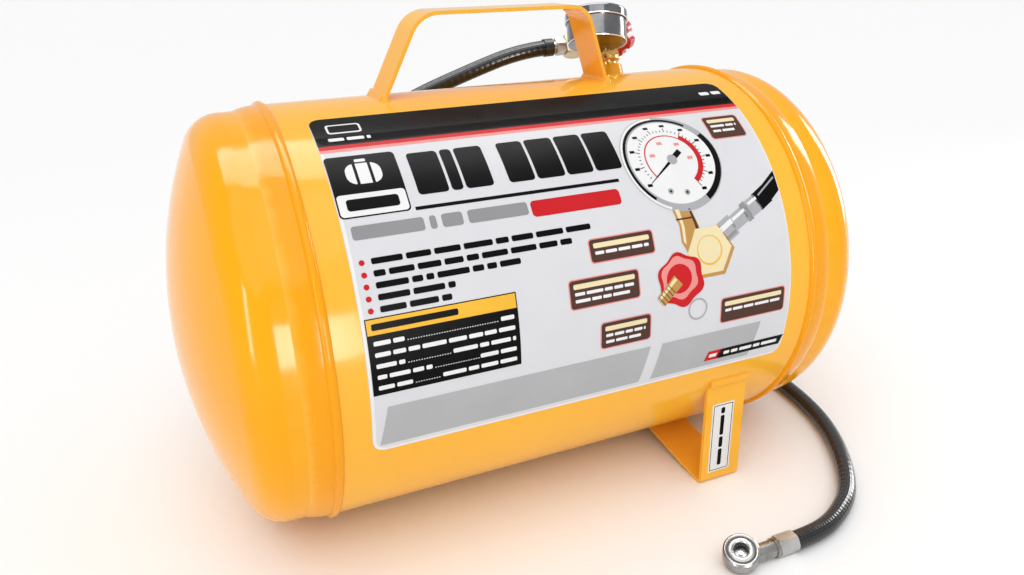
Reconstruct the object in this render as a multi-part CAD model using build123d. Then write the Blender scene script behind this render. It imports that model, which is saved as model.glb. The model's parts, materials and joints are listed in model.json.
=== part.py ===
from build123d import *
import os
from math import atan2, cos, degrees, pi, radians, sin, sqrt, tan

# Portable air receiver tank, millimetres. +X runs along the tank towards the outlet manifold,
# -Y is the labelled front, +Z is up. The origin is on the floor under the middle of the tank.

# Driving dimensions: tank
TANK_R = 127.0
WALL = 2.5
AXIS_Z = 129.0
SHELL_HALF = 152.0
HEAD_R = TANK_R - WALL
HEAD_END = 220.0
HEAD_TUCK = 12.0
KNUCKLE_R = 22.0
DOME_R = 259.0
SEAM_START = 149.0
SEAM_CREST = 151.6
SEAM_END = 167.0
WELD_PROUD = 1.2

# Driving dimensions: handle and feet
HANDLE_W = 28.0
HANDLE_T = 2.2
HANDLE_TOP = 175.0
HANDLE_LEFT = (-85.0, 126.0)
HANDLE_RIGHT = (66.5, 126.0)
HANDLE_CORNER_LEFT = (-59.9, HANDLE_TOP)
HANDLE_CORNER_RIGHT = (51.3, HANDLE_TOP - 0.4)
HANDLE_BEND_LEFT = 20.0
HANDLE_BEND_RIGHT = 15.0
FOOT_X = 101.0
FOOT_W = 30.0
FOOT_T = 2.5
FOOT_FRONT = 115.4
FOOT_BEND = 4.0
FOOT_SLOPE = 8.2
FOOT_REAR_Y = 38.0

# Driving dimensions: label and sticker
LABEL_HALF = 134.0
LABEL_TOP = 74.3
LABEL_BOTTOM = -16.7
LABEL_T = 0.25
STICKER_SIZE = (17.0, 52.0)
STICKER_CENTRE = (99.5, -95.0)
STICKER_T = 0.2

# Driving dimensions: manifold, in its own frame. Its z is the outlet's radial direction,
# its y points at the gauge and its x points at the hose.
PORT_X = 112.5
PORT_TILT = 27.5
PORT_TURN = 35.0
BUNG_R = 10.0
BUNG_TOP = 12.5
BUNG_BORE = 6.65
NECK_R = 6.6
BODY_FLATS = 19.0
BODY_Z = (19.0, 40.0)
PORTS_Z = 30.5
FIT = 0.05
VALVE_DIR = (-0.5, -0.75, 0.43)
RELIEF_DIR = (0.35, -0.94, 0.0)
RELIEF_Z = 23.0
RING_AT = 29.6
RING_R = 7.2
OUTLET_AT = (20.5, -4.0, 37.5)
OUTLET_TURN = 30.0
OUTLET_FLATS = 20.0
OUTLET_H = 14.0
OUTLET_PORT = 10.9

# Driving dimensions: gauge, in its own frame, with z out of the dial and y at twelve o'clock
GAUGE_REACH = 39.0
GAUGE_TWIST = -10.0
BEZEL_R = 22.0
CASE_R = 21.0
CASE_BACK = -11.5
CASE_FRONT = 7.0
DIAL_Z = 3.0
DIAL_R = 19.6
SOCKET_SIDE = 10.5
SCREW_X = 5.0
SCREW_Y = -6.2
SECTOR_Y = 7.0

# Driving dimensions: shut-off valve and fill stem, distances along the valve's axis
BONNET_START = 11.0
BONNET_END = 15.0
KNOB_START = 15.3
KNOB_END = 23.5
KNOB_R = 15.0
KNOB_LOBES = 6
SPINDLE_R = 3.54
STEM_END = 38.0
FILL_R = 3.85
COLLAR_R = 4.7
COLLAR_END = 24.7

# Driving dimensions: hose and chuck
HOSE_D = 11.5
FERRULE_R = 6.5
CHUCK_AT = (58.5, -191.0, 9.2)
CHUCK_AXIS = (-0.294, -0.325, 0.899)
CHUCK_R = 10.4
CHUCK_H = 12.0
MOUTH_R = 3.95
# The hose's route, from the manifold's ferrule, over and down behind the tank, along the
# floor, round the right-hand head and back to the chuck in front.
HOSE_ROUTE = [
    (77.08, 90.92, 267.13),
    (53.17, 92.77, 266.16),
    (12.0, 103.0, 251.2),
    (-38.0, 118.0, 230.0),
    (-80.0, 136.0, 193.0),
    (-112.0, 150.0, 137.0),
    (-124.0, 158.0, 83.0),
    (-110.0, 163.0, 33.0),
    (-72.0, 163.0, 6.3),
    (-16.0, 158.0, 6.3),
    (44.0, 159.0, 6.3),
    (104.0, 154.0, 6.3),
    (160.0, 132.0, 6.3),
    (202.0, 88.0, 6.3),
    (226.0, 30.0, 6.3),
    (222.0, -54.0, 6.3),
    (205.0, -111.5, 6.3),
    (167.0, -167.0, 6.3),
    (133.0, -187.7, 6.3),
    (110.5, -192.4, 6.3),
    (96.5, -192.2, 6.3),
]


def unit(vector):
    return Vector(*vector).normalized()


def plane_along(origin, direction, x_hint=(1, 0, 0)):
    """A plane whose z runs along direction, with x as near to x_hint as it can be."""
    z = unit(direction)
    hint = Vector(*x_hint)
    x = (hint - z * hint.dot(z)).normalized()
    return Plane(origin=tuple(Vector(*origin)), x_dir=tuple(x), z_dir=tuple(z))


def rod(radius, start, end):
    """A cylinder about z from start to end."""
    return Pos(0, 0, start) * Cylinder(radius, end - start, align=(Align.CENTER, Align.CENTER, Align.MIN))


def tube(radius, bore, start, end):
    return rod(radius, start, end) - rod(bore, start - 1, end + 1)


def hex_bar(flats, start, end, chamfered=1.0, turn=0.0):
    """A hexagonal bar about z with its corners turned off at both ends."""
    corner = flats / sqrt(3)
    bar = extrude(Pos(0, 0, start) * Rot(0, 0, turn) * RegularPolygon(corner, 6), end - start)
    blank = chamfer(rod(corner + 0.02, start, end).edges(), chamfered)
    return bar & blank


def lathe_x(points):
    """Turns a closed outline of (x, radius) points and arcs about the tank's axis."""
    edges = []
    for item in points:
        if len(item) == 2:
            edges.append(Line(*[(x, 0, r) for x, r in item]))
        else:
            edges.append(ThreePointArc(*[(x, 0, r) for x, r in item]))
    solid = revolve(make_face(Wire(edges)), axis=Axis.X, revolution_arc=360)
    return Pos(0, 0, AXIS_Z) * solid


def tank_solid(radius=TANK_R, half=SHELL_HALF + 4):
    return Pos(0, 0, AXIS_Z) * Rot(0, 90, 0) * Cylinder(radius, 2 * half)


# Frames

TILT = radians(PORT_TILT)
TURN = radians(PORT_TURN)
PORT_OUT = Vector(0, sin(TILT), cos(TILT))
TO_GAUGE = Vector(-sin(TURN), -cos(TURN) * cos(TILT), cos(TURN) * sin(TILT))
TO_HOSE = TO_GAUGE.cross(PORT_OUT)
PORT_AT = Vector(PORT_X, TANK_R * sin(TILT), AXIS_Z + TANK_R * cos(TILT))
MANIFOLD = Plane(origin=tuple(PORT_AT), x_dir=tuple(TO_HOSE), z_dir=tuple(PORT_OUT)).location
GAUGE = MANIFOLD * Pos(0, GAUGE_REACH, PORTS_Z) * Rot(0, GAUGE_TWIST, 0)
VALVE = MANIFOLD * plane_along((0, 0, PORTS_Z), VALVE_DIR).location
RELIEF = MANIFOLD * plane_along((0, 0, RELIEF_Z), RELIEF_DIR, (0, 0, 1)).location
OUTLET = MANIFOLD * Pos(*OUTLET_AT) * Rot(0, 0, OUTLET_TURN)
NIPPLE = MANIFOLD * plane_along((0, 0, PORTS_Z), (OUTLET_AT[0], OUTLET_AT[1], 2.0), (0, 0, 1)).location
HOSE_START = Vector(*HOSE_ROUTE[0])
HOSE_END = Vector(*HOSE_ROUTE[-1])
HOSE_OUT = (Vector(*HOSE_ROUTE[1]) - HOSE_START).normalized()
FITTING = plane_along(HOSE_START, HOSE_OUT, (0, 0, 1)).location
NUT_START = OUTLET_FLATS / 2 - (HOSE_START - OUTLET.position).length
CHUCK = plane_along(CHUCK_AT, CHUCK_AXIS, (1, 0, 0)).location
CHUCK_LINE = plane_along(HOSE_END, HOSE_END - Vector(*HOSE_ROUTE[-2]), (0, 0, 1)).location


# Tank

def head_outline(skirt, knuckle, dome, end):
    """Points where a dished head's skirt, knuckle and dome meet, and each arc's middle."""
    centre_r = skirt - knuckle
    reach = sqrt((dome - knuckle) ** 2 - centre_r**2)
    dome_x = end - dome
    start = dome_x + reach
    meet = atan2(centre_r, reach)
    middle = (meet + pi / 2) / 2
    tangent = (start, skirt)
    knuckle_mid = (start + knuckle * cos(middle), centre_r + knuckle * sin(middle))
    junction = (dome_x + dome * cos(meet), dome * sin(meet))
    dome_mid = (dome_x + dome * cos(meet / 2), dome * sin(meet / 2))
    return tangent, knuckle_mid, junction, dome_mid, (end, 0.0)


def tank_head():
    start = SHELL_HALF - HEAD_TUCK
    out = head_outline(HEAD_R - FIT, KNUCKLE_R, DOME_R, HEAD_END)
    inn = head_outline(HEAD_R - WALL, KNUCKLE_R - WALL, DOME_R - WALL, HEAD_END - WALL)
    return lathe_x([
        ((start, HEAD_R - FIT), out[0]),
        (out[0], out[1], out[2]),
        (out[2], out[3], out[4]),
        (out[4], inn[4]),
        (inn[4], inn[3], inn[2]),
        (inn[2], inn[1], inn[0]),
        (inn[0], (start, HEAD_R - WALL)),
        ((start, HEAD_R - WALL), (start, HEAD_R - FIT)),
    ])


def seam_weld():
    """The girth weld: a narrow bead over the shell's edge, and the fillet that runs out on the head."""
    crest_end = 2 * SEAM_CREST - SEAM_START
    return lathe_x([
        ((SEAM_START, TANK_R), (SEAM_CREST, AXIS_Z), (crest_end, TANK_R)),
        ((crest_end, TANK_R), (SEAM_END - 5.5, HEAD_R + 1.6), (SEAM_END, HEAD_R - FIT)),
        ((SEAM_END, HEAD_R - FIT), (SHELL_HALF, HEAD_R - FIT)),
        ((SHELL_HALF, HEAD_R - FIT), (SHELL_HALF, TANK_R)),
        ((SHELL_HALF, TANK_R), (SEAM_START, TANK_R)),
    ])


def tank_shell():
    outer = tank_solid(TANK_R, SHELL_HALF)
    hole = MANIFOLD * rod(BUNG_R + FIT, -12, 12)
    return outer - tank_solid(HEAD_R, SHELL_HALF + 5) - hole


def longitudinal_weld():
    """The shell's long seam, low at the back."""
    angle = radians(98)
    radius = 4.4
    sunk = TANK_R + WELD_PROUD - radius
    bead = Rot(0, 90, 0) * Cylinder(radius, 2 * SEAM_START - 2)
    bead = Pos(0, sunk * sin(angle), AXIS_Z + sunk * cos(angle)) * bead
    return bead - tank_solid()


def outlet_bung():
    body = chamfer(rod(BUNG_R, -5, BUNG_TOP).edges(), 0.8)
    return MANIFOLD * (body - rod(BUNG_BORE, -6, BUNG_TOP + 1))


def fillet_ring(inner, outer, low, high):
    """A weld fillet round a boss, left to be trimmed by the surface it stands on."""
    lower = low - 2
    outline = Wire([
        Line((inner, 0, lower), (outer, 0, lower)),
        Line((outer, 0, lower), (outer, 0, low)),
        ThreePointArc((outer, 0, low), ((inner + outer) / 2 - 0.4, 0, (low + high) / 2 - 0.4), (inner, 0, high)),
        Line((inner, 0, high), (inner, 0, lower)),
    ])
    return revolve(make_face(outline), axis=Axis.Z, revolution_arc=360)


def bung_weld():
    ring = MANIFOLD * fillet_ring(BUNG_R, BUNG_R + 4.2, -0.3, 3.6)
    return ring - tank_solid()


# Handle and feet

def strip_side(points, radii):
    """A bent line in the XZ plane with its corners rounded."""
    return FilletPolyline(*[(x, 0, z) for x, z in points], radius=list(radii))


def shifted_corners(points, inset):
    """Corners of the same bent line, moved inwards by inset."""
    lines = []
    for (x0, z0), (x1, z1) in zip(points, points[1:]):
        length = sqrt((x1 - x0) ** 2 + (z1 - z0) ** 2)
        nx, nz = (z1 - z0) / length, -(x1 - x0) / length
        lines.append(((x0 + nx * inset, z0 + nz * inset), ((x1 - x0) / length, (z1 - z0) / length)))
    moved = [lines[0][0]]
    for (p, d), (q, e) in zip(lines, lines[1:]):
        cross = d[0] * e[1] - d[1] * e[0]
        along = ((q[0] - p[0]) * e[1] - (q[1] - p[1]) * e[0]) / cross
        moved.append((p[0] + along * d[0], p[1] + along * d[1]))
    (x0, z0), _ = lines[-1]
    last, before = points[-1], points[-2]
    moved.append((last[0] + x0 - before[0], last[1] + z0 - before[1]))
    return moved


HANDLE_LINE = [HANDLE_LEFT, HANDLE_CORNER_LEFT, HANDLE_CORNER_RIGHT, HANDLE_RIGHT]


def handle_blank():
    bends = (HANDLE_BEND_LEFT, HANDLE_BEND_RIGHT)
    outside = strip_side(HANDLE_LINE, bends)
    inner_line = shifted_corners(HANDLE_LINE, HANDLE_T)
    inside = strip_side(inner_line, [bend - HANDLE_T for bend in bends])
    start = Line(inside @ 0, outside @ 0)
    end = Line(outside @ 1, inside @ 1)
    face = make_face(Wire(outside.edges() + inside.edges() + [start, end]))
    return Pos(0, 0, AXIS_Z) * extrude(face, amount=HANDLE_W / 2, dir=(0, 1, 0), both=True)


def handle():
    return handle_blank() - tank_solid()


def handle_welds():
    """A fillet all round each foot of the handle."""
    blank = handle_blank()
    beads = []
    for (x, z), side in ((HANDLE_LEFT, 1), (HANDLE_RIGHT, -1)):
        pad = Rectangle(9.0, HANDLE_W + 6.5)
        pad = fillet(pad.vertices(), 3.5)
        bead = extrude(pad, amount=5.4, taper=33)
        beads.append(Pos(x + 1.3 * side, 0, AXIS_Z + z - 1.2) * bead)
    return [bead - blank - tank_solid() for bead in beads]


def foot_blank():
    """The front foot's bent strip: upright at the front, then rising gently to the shell."""
    slope = radians(FOOT_SLOPE)
    y0 = -FOOT_FRONT
    bend_y, bend_z = y0 + FOOT_BEND, FOOT_BEND
    turn = (-pi + (slope - pi / 2)) / 2

    def arc_point(radius, angle):
        return (0, bend_y + radius * cos(angle), bend_z + radius * sin(angle))

    def rising(radius, y):
        _, start_y, start_z = arc_point(radius, slope - pi / 2)
        return (0, y, start_z + (y - start_y) * tan(slope))

    inner = FOOT_BEND - FOOT_T
    top = AXIS_Z - 48
    outline = Wire([
        Line((0, y0, top), arc_point(FOOT_BEND, -pi)),
        ThreePointArc(arc_point(FOOT_BEND, -pi), arc_point(FOOT_BEND, turn), arc_point(FOOT_BEND, slope - pi / 2)),
        Line(arc_point(FOOT_BEND, slope - pi / 2), rising(FOOT_BEND, -FOOT_REAR_Y)),
        Line(rising(FOOT_BEND, -FOOT_REAR_Y), rising(inner, -FOOT_REAR_Y)),
        Line(rising(inner, -FOOT_REAR_Y), arc_point(inner, slope - pi / 2)),
        ThreePointArc(arc_point(inner, slope - pi / 2), arc_point(inner, turn), arc_point(inner, -pi)),
        Line(arc_point(inner, -pi), (0, y0 + FOOT_T, top)),
        Line((0, y0 + FOOT_T, top), (0, y0, top)),
    ])
    strip = extrude(make_face(outline), amount=FOOT_W / 2, dir=(1, 0, 0), both=True)
    return Pos(FOOT_X, 0, 0) * strip


def front_foot():
    return foot_blank() - tank_solid()


def foot_welds():
    """A bead along the top of the leg and another where the strip meets the shell below."""
    shell_z = AXIS_Z - sqrt(TANK_R**2 - FOOT_FRONT**2)
    top = Pos(FOOT_X, -FOOT_FRONT + 0.4, shell_z + 0.6) * Rot(0, 90, 0) * Cylinder(3.2, FOOT_W - 1)
    low = Pos(FOOT_X, -43.5, 8.4) * Rot(0, 90, 0) * Cylinder(3.0, FOOT_W - 1)
    blank = foot_blank()
    beads = []
    for bead in (top, low):
        pieces = (bead - blank - tank_solid()).solids()
        beads.append(max(pieces, key=lambda piece: piece.volume))
    return beads


# Label and sticker

def curved_patch(half, low, high, inner, outer, corner):
    """A patch on the shell's front between two angles above the horizontal."""
    ring = tank_solid(outer, half) - tank_solid(inner, half + 1)
    middle = radians((low + high) / 2)
    width = 2 * outer * sin(radians(high - low) / 2)
    sheet = Rectangle(2 * half, width)
    sheet = fillet(sheet.vertices(), corner)
    cutter = extrude(sheet, 2 * TANK_R)
    face_on = plane_along((0, 0, AXIS_Z), (0, -cos(middle), sin(middle)), (1, 0, 0))
    return ring & (face_on.location * cutter)


def front_label():
    patch = curved_patch(LABEL_HALF, LABEL_BOTTOM, LABEL_TOP, TANK_R, TANK_R + LABEL_T, 7.0)
    return patch


def foot_sticker():
    x, z = STICKER_CENTRE
    plate = Box(STICKER_SIZE[0], STICKER_T, STICKER_SIZE[1])
    return Pos(x, -FOOT_FRONT - STICKER_T / 2, AXIS_Z + z) * plate


# Manifold

def valve_boss(radius, start, end):
    return plane_along((0, 0, PORTS_Z), VALVE_DIR).location * rod(radius, start, end)


def relief_boss(radius, start, end):
    return plane_along((0, 0, RELIEF_Z), RELIEF_DIR).location * rod(radius, start, end)


def gauge_boss(radius, start, end):
    return Pos(0, 0, PORTS_Z) * Rot(-90, 0, 0) * rod(radius, start, end)


def outlet_boss(radius, start, end):
    return MANIFOLD.inverse() * NIPPLE * rod(radius, start, end)


def manifold_body():
    """Brass forging: threaded neck, hexagonal body and a boss for each fitting."""
    body = hex_bar(BODY_FLATS, BODY_Z[0], BODY_Z[1], 1.2, 30)
    body += chamfer(rod(9.4, BODY_Z[0] - 3.5, BODY_Z[0] + 1).edges().sort_by(Axis.Z)[0], 1.0)
    body += rod(NECK_R, 2, BODY_Z[0])
    body += valve_boss(8.6, 2, BONNET_START)
    body += relief_boss(6.6, 2, 12.5)
    body += gauge_boss(7.2, 2, 13.0)
    body += outlet_boss(7.0, 2, OUTLET_PORT)
    body -= rod(2.6, 1, PORTS_Z + 4)
    body -= gauge_boss(4.6, 9, 14)
    body -= gauge_boss(1.6, -1, 10)
    body -= outlet_boss(4.2, 8, 14)
    body -= Pos(*OUTLET_AT) * Rot(0, 0, OUTLET_TURN) * hex_bar(OUTLET_FLATS + 0.1, -8, 8, 0.2, 30)
    body -= outlet_boss(2.2, -1, 10)
    body -= relief_boss(4.1, 8, 14)
    body -= relief_boss(1.9, -1, 9)
    body -= valve_boss(6.3, 7.5, BONNET_START + 1)
    body -= valve_boss(2.0, -1, 8)
    body -= valve_boss(9.0, BONNET_START, 25)
    return MANIFOLD * body


def outlet_hex():
    """Hexagonal outlet block with a nipple into the body and a port for the hose's nut."""
    block = OUTLET * hex_bar(OUTLET_FLATS, -OUTLET_H / 2, OUTLET_H / 2, 1.3, 30)
    block += NIPPLE * rod(4.2, 8, 16)
    block -= NIPPLE * rod(2.2, 7, OUTLET_AT[0])
    block -= FITTING * rod(2.2, NUT_START - 10, NUT_START)
    return block - FITTING * rod(4.0, NUT_START - 4.5, NUT_START + 1)


# Gauge

def gauge_socket():
    """Square brass stem that screws into the manifold and carries the movement."""
    stem = Pos(0, -GAUGE_REACH, 0) * Rot(-90, 0, 0)
    square = Pos(0, -23.1, -0.9) * Box(SOCKET_SIDE, 3.6, 9.0)
    collar = stem * rod(6.8, GAUGE_REACH - 26.0, GAUGE_REACH - 24.8)
    thread = stem * rod(4.6, 9.0, GAUGE_REACH - 25.5)
    block = Pos(0, -12.8, -3.0) * Box(9.0, 9.6, 7.0)
    neck = Pos(0, -19.2, -0.5) * Box(7.0, 5.0, 6.0)
    bore = stem * rod(1.2, 5, 24)
    return square + collar + thread + neck + block - bore


def gauge_case():
    cup = rod(CASE_R, CASE_BACK, CASE_FRONT)
    cup = fillet(cup.edges().sort_by(Axis.Z)[0], 1.6)
    cup -= rod(CASE_R - 1.0, CASE_BACK + 1.2, CASE_FRONT + 1)
    return cup - Pos(0, -CASE_R, -0.5) * Box(7.0, 12, 6.0)


def gauge_bezel():
    ring = rod(BEZEL_R, 3.8, 11.0)
    ring = fillet(ring.edges().sort_by(Axis.Z)[-1], 1.8)
    ring -= rod(CASE_R, 3, 7.0)
    ring -= rod(20.6, 6.9, 9.9)
    return ring - Cone(18.6, 20.0, 2.2, align=(Align.CENTER, Align.CENTER, Align.MIN)).moved(Pos(0, 0, 9.2))


def gauge_lens():
    return rod(20.6, 8.2, 9.9)


def gauge_dial():
    return rod(DIAL_R, DIAL_Z, DIAL_Z + 0.5) - rod(1.5, 0, 9)


def pointer_arbor():
    return rod(0.7, -6.4, 5.0) + rod(1.3, -3.6, -2.2)


def gauge_pointer():
    """Black needle with a round hub and a short tail, at rest on zero."""
    needle = Polyline((-1.3, -6.0), (1.3, -6.0), (0.35, 15.2), (-0.35, 15.2), (-1.3, -6.0))
    blade = extrude(make_face(needle), 0.5)
    pointer = Pos(0, 0, 5.0) * Rot(0, 0, 135) * blade
    return pointer + rod(2.3, 5.0, 6.4)


def movement_plate():
    """Lower plate of the movement, against the socket, with two posts up to the dial."""
    plate = Pos(0, 0.5, -6.0) * Box(13.0, 17.0, 1.0)
    for x in (-SCREW_X, SCREW_X):
        plate += Pos(x, SCREW_Y, 0) * rod(1.2, -5.6, DIAL_Z)
    plate -= rod(0.75, -8, 0)
    return plate - Pos(0, SECTOR_Y, 0) * rod(0.75, -8, 0)


def sector_gear():
    """Sector that turns the pointer's pinion, with its tail and its pivot."""
    wedge = Polyline((0, 0), (-5.0, -7.0), (5.0, -7.0), (0, 0))
    rim = extrude(make_face(wedge), 0.9) & rod(SECTOR_Y - 1.65, 0, 1)
    tail = Pos(0, 2.0, 0.45) * Box(2.0, 5.0, 0.9)
    pivot = rod(0.7, -3.0, 1.6)
    return Pos(0, SECTOR_Y, -3.35) * Rot(0, 0, -33) * (rim + tail + pivot)


def bourdon_tube():
    """Flattened C-shaped tube that straightens under pressure."""
    ring = tube(15.6, 14.0, -9.5, -1.5)
    ring -= Pos(-12, -14, 0) * Box(30, 16, 30)
    return ring - Pos(0, -12.8, -3.0) * Box(9.0, 9.6, 7.0)


def dial_screws():
    screws = []
    for x in (-SCREW_X, SCREW_X):
        head = rod(1.5, DIAL_Z + 0.5, DIAL_Z + 1.3)
        slot = Pos(0, 0, DIAL_Z + 1.3) * Box(3.2, 0.4, 0.6)
        screws.append(Pos(x, SCREW_Y, 0) * (head - slot))
    return screws


# Shut-off valve and fill stem, along the valve's axis

def valve_bonnet():
    nut = hex_bar(15.0, BONNET_START, BONNET_END, 0.8)
    nut += rod(6.3, 8.0, BONNET_START + 1)
    return VALVE * (nut - rod(SPINDLE_R + 0.06, 7, BONNET_END + 1))


def valve_spindle():
    """Hollow spindle: the knob turns it, and its inner end drives the plug."""
    spindle = rod(SPINDLE_R, 12.0, KNOB_END - 1.0)
    spindle -= rod(1.3, 11, KNOB_END)
    spindle -= rod(2.4, KNOB_END - 3.0, KNOB_END)
    return VALVE * (spindle - rod(2.3, 11.9, 16.0))


def valve_plug():
    """Needle plug, raised off its seat as the spindle turns."""
    return VALVE * (rod(2.25, 8.5, 12.6) + rod(3.4, 8.1, 9.0))


def shutoff_knob():
    """Red scalloped handwheel with a dished face."""
    blank = rod(KNOB_R, KNOB_START, KNOB_END)
    for index in range(KNOB_LOBES):
        angle = 360 / KNOB_LOBES * index
        blank -= Rot(0, 0, angle) * Pos(KNOB_R + 2.6, 0, 0) * rod(5.2, KNOB_START - 1, KNOB_END + 1)
    blank = fillet(blank.edges().group_by(Axis.Z)[-1], 1.2)
    blank = fillet(blank.edges().group_by(Axis.Z)[0], 0.8)
    blank -= tube(10.0, 5.6, KNOB_END - 1.6, KNOB_END + 1)
    blank -= rod(SPINDLE_R, KNOB_START - 1, KNOB_END)
    return VALVE * (blank - rod(COLLAR_R, KNOB_END - 1.0, KNOB_END + 1))


def fill_stem():
    """Brass tyre-valve stem screwed into the spindle."""
    stem = rod(FILL_R, COLLAR_END, STEM_END)
    stem = chamfer(stem.edges().sort_by(Axis.Z)[-1], 0.6)
    stem += rod(COLLAR_R, KNOB_END - 1.0, COLLAR_END)
    stem += rod(2.4, KNOB_END - 3.0, KNOB_END - 0.5)
    stem -= rod(2.0, KNOB_END + 1.5, STEM_END + 1)
    return VALVE * (stem - rod(1.2, KNOB_END - 4, STEM_END))


def valve_core():
    return VALVE * tube(2.0, 0.75, KNOB_END + 5.0, STEM_END - 2.2)


def valve_core_pin():
    pin = rod(0.6, KNOB_END + 2.2, STEM_END - 0.4)
    pin += rod(1.5, KNOB_END + 3.8, KNOB_END + 4.7)
    pin += rod(1.0, STEM_END - 0.9, STEM_END - 0.4)
    return VALVE * pin


def valve_core_spring():
    return VALVE * tube(1.75, 1.35, KNOB_END + 1.5, KNOB_END + 3.8)


# Safety relief valve, along its own axis

def relief_body():
    body = rod(4.1, 9.0, 13)
    body += hex_bar(12.0, 12.5, 17.0, 0.7)
    body += rod(4.6, 16.5, 26.0)
    body -= rod(1.8, 7, 18)
    body -= rod(3.3, 15.0, 24.4)
    return RELIEF * (body - rod(1.15, 24, 27))


def relief_stem():
    stem = rod(1.1, 15.2, 31.5) + rod(2.7, 15.0, 16.6)
    return RELIEF * (stem - Pos(0, 0, RING_AT) * Rot(90, 0, 0) * Cylinder(0.65, 6))


def relief_spring():
    return RELIEF * tube(2.8, 2.0, 16.6, 24.4)


def pull_ring():
    """Ring through the stem's hole, hanging down."""
    eye = (RELIEF * Pos(0, 0, RING_AT)).position
    across = (RELIEF * Pos(0, 1, 0)).position - RELIEF.position
    drop = Vector(0, 0, -1)
    drop = (drop - across * drop.dot(across)).normalized()
    hanging = plane_along(eye + drop * RING_R, across.cross(drop), drop)
    return hanging.location * Torus(RING_R, 0.55)


# Hose fittings, hose and chuck

def hose_fitting():
    """Plated swivel nut and collar between the outlet and the hose."""
    piece = hex_bar(11.5, NUT_START + 0.3, -3.4, 0.8, 0)
    piece += rod(4.0, NUT_START - 4.0, NUT_START + 1)
    piece += rod(4.4, -3.5, -1.0)
    return FITTING * (piece - rod(1.8, NUT_START - 5, 0))


def hose_ferrule():
    """Crimped sleeve over the hose's end."""
    sleeve = rod(FERRULE_R, -1.0, 6.0) - rod(HOSE_D / 2, 0, 7)
    return FITTING * (sleeve - rod(1.8, -2, 1))


def route_radii(points):
    """Each corner's radius: 0.45 of its shorter run over the tangent of half its turn."""
    radii = []
    for before, here, after in zip(points, points[1:], points[2:]):
        arriving = Vector(*here) - Vector(*before)
        leaving = Vector(*after) - Vector(*here)
        turn = radians(arriving.get_angle(leaving))
        radii.append(0.45 * min(arriving.length, leaving.length) / tan(turn / 2))
    return radii


def air_hose():
    radii = route_radii(HOSE_ROUTE)
    print("hose arc radii", [round(radius, 1) for radius in radii])
    path = FilletPolyline(*HOSE_ROUTE, radius=radii)
    start = Plane(origin=path @ 0, z_dir=path % 0)
    hose = sweep(start * Circle(HOSE_D / 2), path=path)
    expected = pi * HOSE_D**2 / 4 * path.length
    print("hose length", round(path.length, 1), "volume over section x length", round(hose.volume / expected, 5))
    return hose


def chuck_ferrule():
    return CHUCK_LINE * hex_bar(12.0, 0, 13.2, 0.7, 30)


def chuck_fitting():
    """Collar and neck between the ferrule and the chuck's head."""
    neck = rod(5.9, 13.2, 15.4) + rod(5.2, 15.3, 32)
    return CHUCK_LINE * neck - CHUCK * rod(CHUCK_R, -CHUCK_H, CHUCK_H)


def chuck_body():
    """Clip-on head: a short drum with a lipped mouth in its upper face."""
    body = rod(CHUCK_R, -CHUCK_H / 2, CHUCK_H / 2)
    body = fillet(body.edges().sort_by(Axis.Z)[0], 2.5)
    body = chamfer(body.edges().sort_by(Axis.Z)[-1], 0.8)
    body -= rod(6.0, -CHUCK_H / 2 + 1.5, CHUCK_H / 2 - 1.0)
    return CHUCK * (body - rod(4.6, 0, CHUCK_H))


def chuck_seal():
    return CHUCK * tube(6.0, MOUTH_R, CHUCK_H / 2 - 3.8, CHUCK_H / 2 - 1.0)


def chuck_pin():
    pin = rod(1.3, -1.0, 2.0)
    pin += rod(4.6, -1.2, 0.2)
    return CHUCK * pin


def chuck_spring():
    return CHUCK * tube(3.6, 2.8, -CHUCK_H / 2 + 1.5, -1.2)


def mirrored_x(shape):
    return mirror(shape, about=Plane.YZ)


def mirrored_y(shape):
    return mirror(shape, about=Plane.XZ)


def group(solids):
    return Compound(children=[Solid(solid.solid().wrapped) for solid in solids])


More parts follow.
